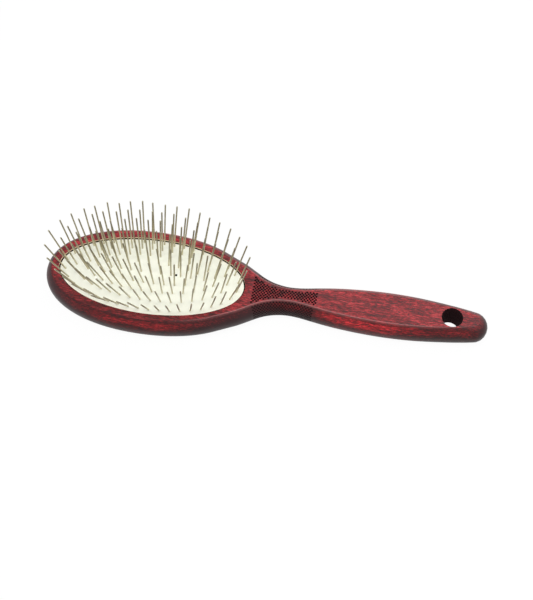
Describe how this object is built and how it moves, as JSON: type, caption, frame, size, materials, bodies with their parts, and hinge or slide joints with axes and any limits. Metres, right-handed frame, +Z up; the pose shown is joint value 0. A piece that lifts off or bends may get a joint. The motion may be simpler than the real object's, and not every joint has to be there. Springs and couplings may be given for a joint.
{
  "type": "pin brush",
  "caption": "Oval pet-grooming pin brush: lacquered wooden head and handle with a hanging hole, domed rubber air cushion and fanned steel pins that sink as the cushion is pressed.",
  "frame": {"origin": "middle of the overall box on the plane the flat back lies on", "axes": "+X from the head along the handle, +Y across, +Z up through the pins"},
  "size_m": [0.2364, 0.0626, 0.0427],
  "materials": {
    "wood": "beech dyed dark red under a satin lacquer",
    "rubber": "matt cream air-cushion rubber",
    "steel": "bare drawn steel wire with rounded polished tips"
  },
  "bodies": {
    "wooden_body": {"wooden_body": "wood", "rubber_cushion": "rubber"},
    "centre_pins": {"pins_centre_1": "steel", "pins_centre_2": "steel"},
    "ring1_pins": {"pins_ring1_arc1": "steel", "pins_ring1_arc2": "steel", "pins_ring1_arc3": "steel", "pins_ring1_arc4": "steel", "pins_ring1_arc5": "steel", "pins_ring1_arc6": "steel", "pins_ring1_arc7": "steel", "pins_ring1_arc8": "steel"},
    "ring2_pins": {"pins_ring2_arc1": "steel", "pins_ring2_arc2": "steel", "pins_ring2_arc3": "steel", "pins_ring2_arc4": "steel", "pins_ring2_arc5": "steel", "pins_ring2_arc6": "steel", "pins_ring2_arc7": "steel"},
    "ring3_pins": {"pins_ring3_arc1": "steel", "pins_ring3_arc2": "steel", "pins_ring3_arc3": "steel", "pins_ring3_arc4": "steel", "pins_ring3_arc5": "steel", "pins_ring3_arc6": "steel"},
    "ring4_pins": {"pins_ring4_arc1": "steel", "pins_ring4_arc2": "steel", "pins_ring4_arc3": "steel", "pins_ring4_arc4": "steel"}
  },
  "joints": [
    {"name": "centre_press", "type": "slide", "parent": "wooden_body", "child": "centre_pins", "axis": [0, 0, -1], "range_m": [0, 0.004], "stiffness_N_per_m": 400, "deforming": ["rubber_cushion"]},
    {"name": "ring4_press", "type": "slide", "parent": "wooden_body", "child": "ring4_pins", "axis": [0, 0, -1], "range_m": [0, 0.00372], "stiffness_N_per_m": 200},
    {"name": "ring3_press", "type": "slide", "parent": "wooden_body", "child": "ring3_pins", "axis": [0, 0, -1], "range_m": [0, 0.00311], "stiffness_N_per_m": 200},
    {"name": "ring2_press", "type": "slide", "parent": "wooden_body", "child": "ring2_pins", "axis": [0, 0, -1], "range_m": [0, 0.00218], "stiffness_N_per_m": 200},
    {"name": "ring1_press", "type": "slide", "parent": "wooden_body", "child": "ring1_pins", "axis": [0, 0, -1], "range_m": [0, 0.00092], "stiffness_N_per_m": 200}
  ],
  "couplings": [
    {"joint": "ring4_press", "follows": "centre_press", "ratio": 0.9266},
    {"joint": "ring3_press", "follows": "centre_press", "ratio": 0.7753},
    {"joint": "ring2_press", "follows": "centre_press", "ratio": 0.5417},
    {"joint": "ring1_press", "follows": "centre_press", "ratio": 0.2274}
  ]
}
